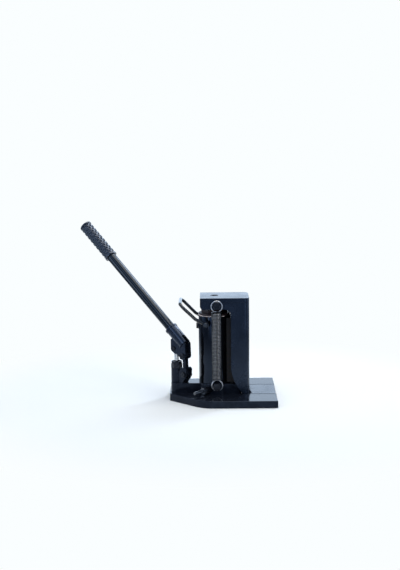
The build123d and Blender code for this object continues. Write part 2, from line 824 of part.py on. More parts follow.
# Link: a forged bar with an eye at each end
link_lean = degrees(atan2(link_head_out - link_foot_out, link_head_z - link_foot_z))
link_length = hypot(link_head_out - link_foot_out, link_head_z - link_foot_z)
with BuildPart() as rocker_link:
    with BuildSketch(pump_plane):
        with Locations((link_foot_out, link_foot_z)):
            Circle(link_foot_radius)
        with Locations((link_head_out, link_head_z)):
            Circle(link_head_radius)
        middle = ((link_foot_out + link_head_out) / 2, (link_foot_z + link_head_z) / 2)
        with Locations(Location((*middle, 0), (0, 0, -link_lean))):
            Rectangle(link_waist, link_length)
        for place in ((link_foot_out, link_foot_z), (link_head_out, link_head_z)):
            with Locations(place):
                Circle(link_pin_radius + running_clearance, mode=Mode.SUBTRACT)
    extrude(amount=link_thickness / 2, both=True)
save(rocker_link, "rocker_link")

# Handle socket: a tube with a beaded mouth on a deep clevis. The clevis takes the link and,
# in its left lobe, the plunger's eye
with BuildPart() as handle_socket:
    corner_inset = clevis_corner_radius - clevis_lobe_radius
    with BuildSketch(pump_plane):
        with Locations((0, eye_pin_z)):
            Circle(clevis_lobe_radius)
        with Locations((corner_inset, eye_pin_z + clevis_corner_rise)):
            Circle(clevis_corner_radius)
        with Locations((link_head_out, link_head_z)):
            Circle(clevis_toe_radius)
        with Locations((link_head_out + clevis_corner_radius, link_head_z + 3 * clevis_toe_radius)):
            Circle(clevis_corner_radius)
        make_hull()
        with Locations(clevis_relief):
            Circle(clevis_relief_radius, mode=Mode.SUBTRACT)
    extrude(amount=clevis_half_width, both=True)
    with BuildSketch(handle_frame):
        Circle(handle_radius + slide_clearance + socket_wall)
    extrude(amount=-socket_length)
    with BuildSketch(handle_frame):
        Circle(handle_radius + slide_clearance + socket_wall + socket_bead)
    extrude(amount=-socket_bead_width)
    with BuildSketch(handle_frame.offset(-socket_depth - socket_floor)):
        Rectangle(4 * socket_depth, 2 * gap_half_width)
    extrude(amount=-3 * socket_depth, mode=Mode.SUBTRACT)
    eye_sweep = eye_half_height + 2 * eye_play_across
    with BuildSketch(pump_plane):
        with Locations((0, eye_pin_z)):
            Circle(eye_sweep)
    extrude(amount=gap_half_width, both=True, mode=Mode.SUBTRACT)
    with BuildSketch(handle_frame):
        Circle(handle_radius + slide_clearance)
    extrude(amount=-socket_depth, mode=Mode.SUBTRACT)
    with BuildSketch(pump_plane):
        with Locations((link_head_out, link_head_z)):
            Circle(link_pin_radius + seat_clearance)
        with Locations((0, eye_pin_z)):
            Circle(eye_pin_radius + seat_clearance)
    extrude(amount=clevis_half_width + edge_break, both=True, mode=Mode.SUBTRACT)
save(handle_socket, "handle_socket")


def clevis_pin(out, z, radius):
    """A headed pin through a clevis, with its groove for a clip behind the far cheek."""
    groove = clevis_half_width + seat_clearance
    with BuildPart() as pin:
        with BuildSketch(pump_plane.offset(-clevis_half_width - pin_tail)):
            with Locations((out, z)):
                Circle(radius)
        extrude(amount=2 * clevis_half_width + pin_tail)
        with BuildSketch(pump_plane.offset(clevis_half_width)):
            with Locations((out, z)):
                Circle(radius + pin_head_radius - link_pin_radius)
        extrude(amount=pin_head_thickness)
        with BuildSketch(pump_plane.offset(-groove)):
            with Locations((out, z)):
                Circle(radius + edge_break)
                Circle(radius - edge_break, mode=Mode.SUBTRACT)
        extrude(amount=-clip_thickness - seat_clearance, mode=Mode.SUBTRACT)
    return pin


def pin_clips(*pins):
    """Retaining rings, open at the bottom, in the grooves of clevis pins."""
    with BuildPart() as clips:
        for out, z, radius in pins:
            with BuildSketch(pump_plane.offset(-clevis_half_width - seat_clearance)):
                with Locations((out, z)):
                    Circle(radius + clip_width)
                    Circle(radius - edge_break + seat_clearance, mode=Mode.SUBTRACT)
                with Locations((out, z - radius)):
                    Rectangle(radius, 2 * radius, mode=Mode.SUBTRACT)
            extrude(amount=-clip_thickness)
    return clips


link_foot = (link_foot_out, link_foot_z, link_pin_radius)
link_head = (link_head_out, link_head_z, link_pin_radius)
plunger_eye = (0, eye_pin_z, eye_pin_radius)
save(clevis_pin(*link_foot), "link_foot_pin")
save(clevis_pin(*link_head), "link_head_pin")
save(clevis_pin(*plunger_eye), "plunger_pin")
save(pin_clips(link_foot), "link_foot_clip")
save(pin_clips(link_head, plunger_eye), "socket_clips")

# Handle: a steel tube that drops into the socket, with a moulded grip
with BuildPart() as handle_tube:
    with BuildSketch(handle_frame.offset(-socket_depth)):
        Circle(handle_radius)
        Circle(handle_radius - handle_wall, mode=Mode.SUBTRACT)
    extrude(amount=socket_depth + handle_reach)
save(handle_tube, "handle_tube")

with BuildPart() as handle_grip:
    grip_start = handle_reach + grip_end - grip_length
    with BuildSketch(handle_frame.offset(grip_start)):
        Circle(grip_radius)
    extrude(amount=grip_length)
    for start in (grip_start, grip_start + grip_length - grip_flange_width):
        with BuildSketch(handle_frame.offset(start)):
            Circle(grip_flange_radius)
        extrude(amount=grip_flange_width)
    fillet(handle_grip.edges().filter_by(GeomType.CIRCLE), radius=edge_break / 2)
    with BuildSketch(handle_frame.offset(grip_start)):
        Circle(handle_radius + seat_clearance)
    extrude(amount=handle_reach - grip_start, mode=Mode.SUBTRACT)
save(handle_grip, "handle_grip")

# Carry bail: a bent rod with a flattened eye at each end
with BuildPart() as carry_bail:
    bend = (bail_x + bail_bend[0], bail_z + bail_bend[1])
    corner = (bail_x + bail_corner[0], bail_z + bail_corner[1])
    with BuildLine() as bail_route:
        FilletPolyline(
            (bail_x, -bail_half_span, bail_z),
            (bend[0], -bail_half_span, bend[1]),
            (corner[0], -bail_corner_half_span, corner[1]),
            (corner[0], bail_corner_half_span, corner[1]),
            (bend[0], bail_half_span, bend[1]),
            (bail_x, bail_half_span, bail_z),
            radius=[bail_bend_radius, bail_corner_radius, bail_corner_radius, bail_bend_radius],
        )
    with BuildSketch(Plane(origin=bail_route.line @ 0, z_dir=bail_route.line % 0)):
        Circle(bail_rod_radius)
    sweep()
    for side in (-1, 1):
        with BuildSketch(facing(side, bail_x, bail_half_span - bail_eye_thickness / 2, bail_z)):
            Circle(bail_eye_radius)
        extrude(amount=bail_eye_thickness)
        for inside, outside in ((-bail_eye_radius, 0), (bail_eye_thickness, bail_eye_radius)):
            reach = bail_half_span - bail_eye_thickness / 2
            with BuildSketch(facing(side, bail_x, reach + inside, bail_z)):
                Circle(bail_eye_radius + edge_break)
            extrude(amount=outside - inside, mode=Mode.SUBTRACT)
        with BuildSketch(facing(side, bail_x, bail_half_span, bail_z)):
            Circle(bail_screw_radius + running_clearance)
        extrude(amount=bail_eye_thickness, both=True, mode=Mode.SUBTRACT)
save(carry_bail, "carry_bail")

with BuildPart() as bail_screws:
    head_seat = bail_half_span + bail_eye_thickness / 2 + slide_clearance
    for side in (-1, 1):
        with BuildSketch(facing(side, bail_x, head_seat, bail_z)):
            Circle(bail_screw_head_radius)
        extrude(amount=bail_screw_head)
        chamfer(bail_screws.faces().sort_by(Axis.Y)[0 if side < 0 else -1].edges(), length=edge_break)
        with BuildSketch(facing(side, bail_x, head_seat, bail_z)):
            Circle(bail_screw_radius)
        extrude(amount=lug_face - bail_screw_thread + edge_break - head_seat)
save(bail_screws, "bail_screws")

# Rubber filler plug, pushed into the tank's boss
with BuildPart() as filler_plug:
    plug_seat = -tank_radius - filler_boss_out - seat_clearance
    with BuildSketch(Plane.YZ.offset(plug_seat)):
        with Locations((0, filler_z)):
            Circle(filler_head_radius)
    extrude(amount=-filler_head)
    chamfer(filler_plug.faces().sort_by(Axis.X)[0].edges(), length=edge_break)
    with BuildSketch(Plane.YZ.offset(plug_seat)):
        with Locations((0, filler_z)):
            Circle(filler_hole_radius)
    extrude(amount=filler_boss_out + tank_wall)
save(filler_plug, "filler_plug")

# Release valve: a screw with a fluted collar and a plain end that takes the handle
with BuildPart() as release_valve:
    collar_start = valve_boss_out + valve_nut_height + valve_collar_gap
    with BuildSketch(valve_frame.offset(2 * valve_ball_radius - valve_depth)):
        Circle(valve_stem_radius)
    extrude(amount=valve_depth + valve_reach - 2 * valve_ball_radius)
    with BuildSketch(valve_frame.offset(collar_start)):
        Circle(valve_collar_radius)
        with PolarLocations(valve_collar_radius, valve_flutes):
            Circle(valve_flute_radius, mode=Mode.SUBTRACT)
    extrude(amount=valve_collar_width)
save(release_valve, "release_valve")

with BuildPart() as valve_gland:
    with BuildSketch(valve_frame.offset(valve_boss_out)):
        RegularPolygon(radius=valve_nut_flats / 2, side_count=6, major_radius=False)
        Circle(valve_stem_radius + running_clearance, mode=Mode.SUBTRACT)
    extrude(amount=valve_nut_height)
save(valve_gland, "valve_gland")

with BuildPart() as release_ball:
    with Locations(valve_frame.offset(valve_ball_radius - valve_depth)):
        Sphere(valve_ball_radius)
save(release_ball, "release_ball")

# Suction, pressure and overload valves: a ball, a spring and a screw plug in each bore
bore_floor = block_half_width - check_bore_depth
with BuildPart() as valve_balls:
    with Locations(*[(place, bore_floor + check_ball_radius, check_valve_z) for place in check_places]):
        Sphere(check_ball_radius)
save(valve_balls, "valve_balls")

with BuildPart() as valve_springs:
    spring_start = bore_floor + 2 * check_ball_radius
    for place in check_places:
        with BuildSketch(facing(1, place, spring_start, check_valve_z)):
            Circle(check_ball_radius)
            Circle(check_ball_radius - edge_break, mode=Mode.SUBTRACT)
        extrude(amount=check_bore_depth - 2 * check_ball_radius - check_plug_length)
save(valve_springs, "valve_springs")

with BuildPart() as valve_plugs:
    for place in check_places:
        with BuildSketch(facing(1, place, block_half_width, check_valve_z)):
            Circle(check_bore_radius)
        extrude(amount=-check_plug_length)
        with BuildSketch(facing(1, place, block_half_width, check_valve_z)):
            Circle(check_plug_head_radius)
        extrude(amount=check_plug_head)
        with BuildSketch(facing(1, place, block_half_width + check_plug_head, check_valve_z)):
            RegularPolygon(radius=socket_drive_flats / 2, side_count=6, major_radius=False)
        extrude(amount=-check_plug_length / 2, mode=Mode.SUBTRACT)
save(valve_plugs, "valve_plugs")
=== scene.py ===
from math import cos, pi, radians, sin

import bpy
from mathutils import Matrix, Vector


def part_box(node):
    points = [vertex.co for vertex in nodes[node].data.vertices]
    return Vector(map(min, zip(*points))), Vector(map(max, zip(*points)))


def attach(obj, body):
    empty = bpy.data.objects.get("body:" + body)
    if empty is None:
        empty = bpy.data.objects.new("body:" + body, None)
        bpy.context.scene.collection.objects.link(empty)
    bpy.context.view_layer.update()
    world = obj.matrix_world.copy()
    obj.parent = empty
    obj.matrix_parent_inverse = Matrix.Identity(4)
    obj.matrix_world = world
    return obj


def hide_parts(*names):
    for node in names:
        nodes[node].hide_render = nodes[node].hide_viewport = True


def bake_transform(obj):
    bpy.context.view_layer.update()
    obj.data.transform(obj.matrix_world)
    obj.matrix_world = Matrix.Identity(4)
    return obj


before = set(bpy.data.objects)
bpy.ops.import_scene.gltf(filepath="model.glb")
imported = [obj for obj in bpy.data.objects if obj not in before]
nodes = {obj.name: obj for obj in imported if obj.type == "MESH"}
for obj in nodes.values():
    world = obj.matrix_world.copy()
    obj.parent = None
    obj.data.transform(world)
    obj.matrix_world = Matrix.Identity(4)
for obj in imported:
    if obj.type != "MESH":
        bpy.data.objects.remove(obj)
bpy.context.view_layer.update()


def linear(colour):
    """The linear colour of an sRGB hex value, as a shader's socket takes it."""
    parts = [int(colour[at:at + 2], 16) / 255 for at in (0, 2, 4)]
    return (*[p / 12.92 if p <= 0.04045 else ((p + 0.055) / 1.055) ** 2.4 for p in parts], 1.0)


def add(finish, kind, settings=(), wires=()):
    """One more node in a finish, with its settings and what is wired into it."""
    made = finish.node_tree.nodes.new(kind)
    for name, value in dict(settings).items():
        if isinstance(name, int) or name in made.inputs:
            made.inputs[name].default_value = value
        else:
            setattr(made, name, value)
    for name, source in dict(wires).items():
        finish.node_tree.links.new(made.inputs[name], source)
    return made


def new_finish(name):
    """An empty finish, and the object's own coordinates in it."""
    finish = bpy.data.materials.new(name)
    finish.use_nodes = True
    finish.node_tree.nodes.clear()
    return finish, add(finish, "ShaderNodeTexCoord").outputs["Object"]


enamel_black, enamel_dust, blue_gloss = "12151C", "1F242E", "B4CDF5"
dust_patch = 0.020
sand_grain, grain_depth = 0.0016, 0.00008  # real grains of 0.3 mm are too fine to show
mould_wave, wave_depth = 0.012, 0.00012

cast_enamel, place = new_finish("stoved_black_enamel_on_cast_iron")
dust = add(cast_enamel, "ShaderNodeTexNoise",
           {"Scale": 1 / dust_patch, "Detail": 5.0, "Roughness": 0.62}, {"Vector": place})
tint = add(cast_enamel, "ShaderNodeValToRGB", {}, {"Fac": dust.outputs["Fac"]})
for stop, at, colour in zip(tint.color_ramp.elements, (0.42, 0.75), (enamel_black, enamel_dust)):
    stop.position, stop.color = at, linear(colour)
sheen = add(cast_enamel, "ShaderNodeMapRange",
            {"From Min": 0.35, "From Max": 0.7, "To Min": 0.10, "To Max": 0.20},
            {"Value": dust.outputs["Fac"]})
grain = add(cast_enamel, "ShaderNodeTexNoise", {"Scale": 1 / sand_grain, "Detail": 2.0},
            {"Vector": place})
grain_bump = add(cast_enamel, "ShaderNodeBump", {"Strength": 1.0, "Distance": grain_depth},
                 {"Height": grain.outputs["Fac"]})
wave = add(cast_enamel, "ShaderNodeTexNoise", {"Scale": 1 / mould_wave, "Detail": 2.0},
           {"Vector": place})
wave_bump = add(cast_enamel, "ShaderNodeBump", {"Strength": 1.0, "Distance": wave_depth},
                {"Height": wave.outputs["Fac"], "Normal": grain_bump.outputs["Normal"]})
shader = add(cast_enamel, "ShaderNodeBsdfPrincipled",
             {"IOR": 1.52, "Specular IOR Level": 0.22, "Specular Tint": linear(blue_gloss)},
             {"Base Color": tint.outputs["Color"], "Roughness": sheen.outputs["Result"],
              "Normal": wave_bump.outputs["Normal"]})
add(cast_enamel, "ShaderNodeOutputMaterial", {}, {"Surface": shader.outputs["BSDF"]})


def soften(node, body, finish, width):
    """A copy of a CAD node whose sharp edges are rounded by the mould or the paint."""
    same_point, flat, sharp, smooth = 0.00001, radians(0.5), radians(38), radians(35)
    piece = nodes[node].copy()
    piece.data = nodes[node].data.copy()
    piece.name = piece.data.name = node + "_soft"
    bpy.context.scene.collection.objects.link(piece)
    piece.parent = None
    piece.data.transform(nodes[node].matrix_world)
    piece.matrix_world = Matrix()
    bpy.ops.object.select_all(action="DESELECT")
    piece.select_set(True)
    bpy.context.view_layer.objects.active = piece
    bpy.ops.object.mode_set(mode="EDIT")
    bpy.ops.mesh.select_all(action="SELECT")
    bpy.ops.mesh.remove_doubles(threshold=same_point)
    bpy.ops.mesh.dissolve_limited(angle_limit=flat)
    bpy.ops.object.mode_set(mode="OBJECT")
    rounding = piece.modifiers.new("rounding", "BEVEL")
    rounding.width = width
    rounding.segments = 2
    rounding.limit_method = "ANGLE"
    rounding.angle_limit = sharp
    bpy.ops.object.modifier_apply(modifier="rounding")
    bpy.ops.object.shade_smooth_by_angle(angle=smooth)
    # broad faces keep their own direction, so that the rounding alone bends the light
    flatten = piece.modifiers.new("flatten", "WEIGHTED_NORMAL")
    flatten.weight = 100
    flatten.keep_sharp = True
    bpy.ops.object.modifier_apply(modifier="flatten")
    piece.data.materials.clear()
    piece.data.materials.append(finish)
    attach(piece, body)
    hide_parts(node)


mould_edge = 0.0012
soften("base_casting", "base", cast_enamel, mould_edge)


# Rocker link: a waisted forged bar with an eye at each end, held by two pins between the
# base's lug and the handle's socket. It is stoved with the base, in the same enamel.
link_edge = 0.0008
soften("rocker_link", "link", cast_enamel, link_edge)


# Oil tank: drawn steel tube, rubbed down and enamelled twice, so it is the glossiest part.
# Only a little orange peel and a thin haze of oil soften what it mirrors.
tank_black = "090A0D"
orange_peel, peel_depth = 0.0035, 0.000006
oil_haze = 0.030


def dress(finish, *names):
    """Puts a finish on CAD nodes whose shape is right as it is."""
    for name in names:
        nodes[name].data.materials.clear()
        nodes[name].data.materials.append(finish)


tank_enamel, place = new_finish("gloss_black_enamel_on_drawn_tube")
peel = add(tank_enamel, "ShaderNodeTexNoise", {"Scale": 1 / orange_peel, "Detail": 1.5},
           {"Vector": place})
peel_bump = add(tank_enamel, "ShaderNodeBump", {"Strength": 1.0, "Distance": peel_depth},
                {"Height": peel.outputs["Fac"]})
haze = add(tank_enamel, "ShaderNodeTexNoise", {"Scale": 1 / oil_haze, "Detail": 4.0},
           {"Vector": place})
haze_range = add(tank_enamel, "ShaderNodeMapRange",
                 {"From Min": 0.35, "From Max": 0.65, "To Min": 0.06, "To Max": 0.13},
                 {"Value": haze.outputs["Fac"]})
shader = add(tank_enamel, "ShaderNodeBsdfPrincipled",
             {"Base Color": linear(tank_black), "IOR": 1.54, "Specular IOR Level": 0.38,
              "Specular Tint": linear(blue_gloss)},
             {"Roughness": haze_range.outputs["Result"], "Normal": peel_bump.outputs["Normal"]})
add(tank_enamel, "ShaderNodeOutputMaterial", {}, {"Surface": shader.outputs["BSDF"]})
dress(tank_enamel, "oil_tank")


# Top cap: turned steel, screwed on the pressure cylinder to close the tank and left in red
# oxide primer, which is satin and uneven and shows brown in the shade of the head plate.
primer_dark, primer_red = "1C1214", "3A211E"
primer_patch = 0.006

oxide_primer, place = new_finish("red_oxide_primer_on_turned_cap")
patch = add(oxide_primer, "ShaderNodeTexNoise", {"Scale": 1 / primer_patch, "Detail": 4.0},
            {"Vector": place})
patch_tint = add(oxide_primer, "ShaderNodeValToRGB", {}, {"Fac": patch.outputs["Fac"]})
for stop, at, colour in zip(patch_tint.color_ramp.elements, (0.4, 0.7), (primer_dark, primer_red)):
    stop.position, stop.color = at, linear(colour)
shader = add(oxide_primer, "ShaderNodeBsdfPrincipled",
             {"Roughness": 0.45, "IOR": 1.5, "Specular IOR Level": 0.35},
             {"Base Color": patch_tint.outputs["Color"]})
add(oxide_primer, "ShaderNodeOutputMaterial", {}, {"Surface": shader.outputs["BSDF"]})
dress(oxide_primer, "top_cap")


# Rim highlight: a pale pink bead round the joint between the tank and its cap. Its pale colour is
# a painted highlight standing in for the bright line along the rim edge. It is lumpy, and it
# stops on the side where the guide shoe slides past.
# the bead's pale pink is a painted highlight along the rim edge
rim_glint_dim, rim_glint_pink = "C4B4AF", "EADBD5"
rim_glint_mottle = 0.003
bead_radius, bead_thickness, bead_lift = 0.0419, 0.0011, 0.0002
bead_lumps = 0.00018
highlight_ends_at = 0.0270

# a pale finish that paints the rim highlight onto the bead
painted_rim_highlight, place = new_finish("pink_painted_rim_highlight")
glint_mottle = add(painted_rim_highlight, "ShaderNodeTexNoise", {"Scale": 1 / rim_glint_mottle, "Detail": 3.0},
            {"Vector": place})
glint_tint = add(painted_rim_highlight, "ShaderNodeValToRGB", {}, {"Fac": glint_mottle.outputs["Fac"]})
for stop, colour in zip(glint_tint.color_ramp.elements, (rim_glint_dim, rim_glint_pink)):
    stop.color = linear(colour)
shader = add(painted_rim_highlight, "ShaderNodeBsdfPrincipled", {"Roughness": 0.4, "IOR": 1.45},
             {"Base Color": glint_tint.outputs["Color"]})
add(painted_rim_highlight, "ShaderNodeOutputMaterial", {}, {"Surface": shader.outputs["BSDF"]})

tank_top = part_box("oil_tank")[1][2]
bpy.ops.object.select_all(action="DESELECT")
bpy.ops.mesh.primitive_torus_add(major_radius=bead_radius, minor_radius=bead_thickness,
                                 major_segments=96, minor_segments=10,
                                 location=(0.0, 0.0, tank_top + bead_lift))
bead = bpy.context.active_object
bead.name = "painted_rim_highlight_bead"
bpy.ops.object.transform_apply(location=True, rotation=True, scale=True)
bpy.ops.object.mode_set(mode="EDIT")
bpy.ops.mesh.select_all(action="SELECT")
bpy.ops.transform.vertex_random(offset=bead_lumps, seed=4)
bpy.ops.mesh.select_all(action="SELECT")
bpy.ops.mesh.bisect(plane_co=(highlight_ends_at, 0.0, 0.0), plane_no=(1.0, 0.0, 0.0),
                    clear_outer=True, use_fill=True)
bpy.ops.object.mode_set(mode="OBJECT")
bpy.ops.object.shade_smooth()
bead.data.materials.append(painted_rim_highlight)
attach(bead, "base")


# Lifting channel, head plate and toe: steel plate of 10, 12 and 18 mm, hot bent and welded,
# then enamelled over the mill scale. A fine speckled peel breaks up what the flat faces
# mirror, and slow clouds in the paint change its gloss.
plate_shade, plate_blue = "0D1118", "141A24"
scale_speckle, speckle_depth = 0.0012, 0.00005
paint_cloud = 0.045
plate_edge = 0.0010

plate_enamel, place = new_finish("black_enamel_on_bent_steel_plate")
speckle = add(plate_enamel, "ShaderNodeTexNoise",
              {"Scale": 1 / scale_speckle, "Detail": 3.0, "Roughness": 0.6}, {"Vector": place})
cloud = add(plate_enamel, "ShaderNodeTexNoise", {"Scale": 1 / paint_cloud, "Detail": 3.0},
            {"Vector": place})
plate_tint = add(plate_enamel, "ShaderNodeValToRGB", {}, {"Fac": cloud.outputs["Fac"]})
for stop, at, colour in zip(plate_tint.color_ramp.elements, (0.35, 0.70),
                            (plate_shade, plate_blue)):
    stop.position, stop.color = at, linear(colour)
plate_sheen = add(plate_enamel, "ShaderNodeMapRange",
                  {"From Min": 0.3, "From Max": 0.7, "To Min": 0.18, "To Max": 0.30},
                  {"Value": cloud.outputs["Fac"]})
speckle_bump = add(plate_enamel, "ShaderNodeBump", {"Strength": 1.0, "Distance": speckle_depth},
                   {"Height": speckle.outputs["Fac"]})
shader = add(plate_enamel, "ShaderNodeBsdfPrincipled",
             {"IOR": 1.52, "Specular IOR Level": 0.50, "Specular Tint": linear(blue_gloss)},
             {"Base Color": plate_tint.outputs["Color"],
              "Roughness": plate_sheen.outputs["Result"],
              "Normal": speckle_bump.outputs["Normal"]})
add(plate_enamel, "ShaderNodeOutputMaterial", {}, {"Surface": shader.outputs["BSDF"]})
for node in ("lifting_column", "head_plate", "toe_plate"):
    soften(node, "carriage", plate_enamel, plate_edge)


# Handle socket: a tube with a beaded mouth on a deep clevis, forged in steel and fettled
# smooth. Its enamel is glossier than the casting's, and where it ran it lies in a soft wave.
socket_blue = "161B24"
paint_run, run_depth = 0.010, 0.00010
socket_edge = 0.0008

socket_enamel, place = new_finish("gloss_enamel_on_forged_steel")
drip = add(socket_enamel, "ShaderNodeTexNoise", {"Scale": 1 / paint_run, "Detail": 2.0},
           {"Vector": place})
drip_bump = add(socket_enamel, "ShaderNodeBump", {"Strength": 1.0, "Distance": run_depth},
                {"Height": drip.outputs["Fac"]})
drip_range = add(socket_enamel, "ShaderNodeMapRange", {"To Min": 0.14, "To Max": 0.26},
                 {"Value": drip.outputs["Fac"]})
shader = add(socket_enamel, "ShaderNodeBsdfPrincipled",
             {"Base Color": linear(socket_blue), "IOR": 1.52, "Specular IOR Level": 0.55,
              "Specular Tint": linear(blue_gloss)},
             {"Roughness": drip_range.outputs["Result"], "Normal": drip_bump.outputs["Normal"]})
add(socket_enamel, "ShaderNodeOutputMaterial", {}, {"Surface": shader.outputs["BSDF"]})
soften("handle_socket", "socket", socket_enamel, socket_edge)


# Guide shoe: a machined block of grey iron, screwed inside the channel low down, where it
# bears on the tank. It has no paint, so it is dull grey with a brown bloom of rust.
iron_grey, iron_rust = "1E1D1D", "2A2019"
rust_bloom, rust_depth = 0.006, 0.00005

bare_iron, place = new_finish("machined_grey_iron")
rust = add(bare_iron, "ShaderNodeTexNoise", {"Scale": 1 / rust_bloom, "Detail": 6.0},
           {"Vector": place})
rust_tint = add(bare_iron, "ShaderNodeValToRGB", {}, {"Fac": rust.outputs["Fac"]})
for stop, at, colour in zip(rust_tint.color_ramp.elements, (0.45, 0.72), (iron_grey, iron_rust)):
    stop.position, stop.color = at, linear(colour)
rust_bump = add(bare_iron, "ShaderNodeBump", {"Strength": 1.0, "Distance": rust_depth},
                {"Height": rust.outputs["Fac"]})
shader = add(bare_iron, "ShaderNodeBsdfPrincipled", {"Metallic": 0.6, "Roughness": 0.45},
             {"Base Color": rust_tint.outputs["Color"], "Normal": rust_bump.outputs["Normal"]})
add(bare_iron, "ShaderNodeOutputMaterial", {}, {"Surface": shader.outputs["BSDF"]})
dress(bare_iron, "guide_shoe")


# Ram, piston, pressure cylinder, pump plunger and valve balls: ground and polished steel. The
# wheel leaves fine rings round them, which draw each light out into a soft line.
polished_steel = "C9CCCE"
ring_pitch, ring_run, ring_depth = 1 / 2500, 1 / 60, 0.00001  # real rings are too fine to show

bright_steel, place = new_finish("ground_bright_steel")
rings = add(bright_steel, "ShaderNodeMapping",
            {"Scale": (1 / ring_run, 1 / ring_run, 1 / ring_pitch)}, {"Vector": place})
grind = add(bright_steel, "ShaderNodeTexNoise", {"Scale": 1.0, "Detail": 2.0},
            {"Vector": rings.outputs["Vector"]})
grind_range = add(bright_steel, "ShaderNodeMapRange", {"To Min": 0.10, "To Max": 0.26},
                  {"Value": grind.outputs["Fac"]})
grind_bump = add(bright_steel, "ShaderNodeBump", {"Strength": 1.0, "Distance": ring_depth},
                 {"Height": grind.outputs["Fac"]})
shader = add(bright_steel, "ShaderNodeBsdfPrincipled",
             {"Base Color": linear(polished_steel), "Metallic": 1.0},
             {"Roughness": grind_range.outputs["Result"], "Normal": grind_bump.outputs["Normal"]})
add(bright_steel, "ShaderNodeOutputMaterial", {}, {"Surface": shader.outputs["BSDF"]})
dress(bright_steel, "ram", "piston", "pressure_cylinder", "pump_plunger", "valve_balls",
      "release_ball")


# Pump cylinder, gland nuts, plugs, screws and pins: turned steel, chemically blacked and
# oiled. They are nearly black, with a soft metallic light on their edges.
oxide_black, oxide_grey = "1C1F25", "3B3E45"
oxide_patch = 0.004

dark_steel, place = new_finish("oiled_black_oxide_steel")
oxide = add(dark_steel, "ShaderNodeTexNoise", {"Scale": 1 / oxide_patch, "Detail": 5.0},
            {"Vector": place})
oxide_tint = add(dark_steel, "ShaderNodeValToRGB", {}, {"Fac": oxide.outputs["Fac"]})
for stop, at, colour in zip(oxide_tint.color_ramp.elements, (0.35, 0.75),
                            (oxide_black, oxide_grey)):
    stop.position, stop.color = at, linear(colour)
oxide_range = add(dark_steel, "ShaderNodeMapRange", {"To Min": 0.25, "To Max": 0.42},
                  {"Value": oxide.outputs["Fac"]})
shader = add(dark_steel, "ShaderNodeBsdfPrincipled", {"Metallic": 0.9},
             {"Base Color": oxide_tint.outputs["Color"],
              "Roughness": oxide_range.outputs["Result"]})
add(dark_steel, "ShaderNodeOutputMaterial", {}, {"Surface": shader.outputs["BSDF"]})
dress(dark_steel, "pump_cylinder", "gland_nut", "valve_gland", "valve_plugs",
      "guide_shoe_screws", "upper_spring_screws", "lower_spring_screws", "link_foot_pin",
      "link_head_pin", "plunger_pin")


# Release valve: a turned screw with a fluted collar and a plain end, blacked like the pins
# and wet with oil that seeps past its gland. The film gives each flute a sharp glint.
wet_black, wet_grey = "0C0E12", "5A606B"
oil_film = 0.005
flute_edge = 0.0005

wet_steel, place = new_finish("blackened_steel_wet_with_oil")
film = add(wet_steel, "ShaderNodeTexNoise", {"Scale": 1 / oil_film, "Detail": 3.0},
           {"Vector": place})
film_tint = add(wet_steel, "ShaderNodeValToRGB", {}, {"Fac": film.outputs["Fac"]})
for stop, colour in zip(film_tint.color_ramp.elements, (wet_black, wet_grey)):
    stop.color = linear(colour)
shader = add(wet_steel, "ShaderNodeBsdfPrincipled",
             {"Metallic": 0.8, "Roughness": 0.3, "Coat Weight": 1.0, "Coat Roughness": 0.05},
             {"Base Color": film_tint.outputs["Color"]})
add(wet_steel, "ShaderNodeOutputMaterial", {}, {"Surface": shader.outputs["BSDF"]})
soften("release_valve", "release_screw", wet_steel, flute_edge)


# Head screw: the countersunk screw that holds the head plate on the ram. It is coloured near
# black as painted shade in its recess, so from above it is a dull black spot in the bright plate.
# these near-black colours are painted shade in the screw's recess
recess_shade_black, recess_shade_grey = "050506", "1A1B1E"
recess_shade_mottle = 0.0015

# a dull near-black finish that paints the recess shade onto the screw
painted_recess_shade, place = new_finish("painted_recess_shade_on_the_head_screw")
shade_mottle = add(painted_recess_shade, "ShaderNodeTexNoise", {"Scale": 1 / recess_shade_mottle, "Detail": 4.0},
            {"Vector": place})
shade_mottle_tint = add(painted_recess_shade, "ShaderNodeValToRGB", {}, {"Fac": shade_mottle.outputs["Fac"]})
for stop, colour in zip(shade_mottle_tint.color_ramp.elements, (recess_shade_black, recess_shade_grey)):
    stop.color = linear(colour)
shader = add(painted_recess_shade, "ShaderNodeBsdfPrincipled", {"Roughness": 0.65, "Specular IOR Level": 0.2},
             {"Base Color": shade_mottle_tint.outputs["Color"]})
add(painted_recess_shade, "ShaderNodeOutputMaterial", {}, {"Surface": shader.outputs["BSDF"]})
dress(painted_recess_shade, "head_screw")


# Return springs: oil-tempered wire wound close on a mandrel, each end bent to a full loop
# that hooks over a shouldered screw. The scale on the wire is grey with a metallic light on
# each turn. The loops are a brighter steel, partly worn where they rub on their screws and
# partly a painted highlight for the light they catch.
wire_dark, wire_light, lit_and_worn_bright = "605E5D", "7D7B79", "BDBDBF"
wire_scale, loop_scuff = 0.003, 0.002
wire_radius = 0.00175
coil_radius = 0.014 - wire_radius
loop_radius = 0.016 - wire_radius
spring_x, spring_offset = 0.006, 0.058
loop_low, loop_high = 0.043, 0.255
coil_gap = 0.002
coil_low, coil_high = loop_low + loop_radius + coil_gap, loop_high - loop_radius - coil_gap
turns, steps_per_turn = 49, 22
loop_steps, loop_opening = 27, pi / 7
lead_steps, lead_drop, lead_bulge = 6, 0.0024, 0.004

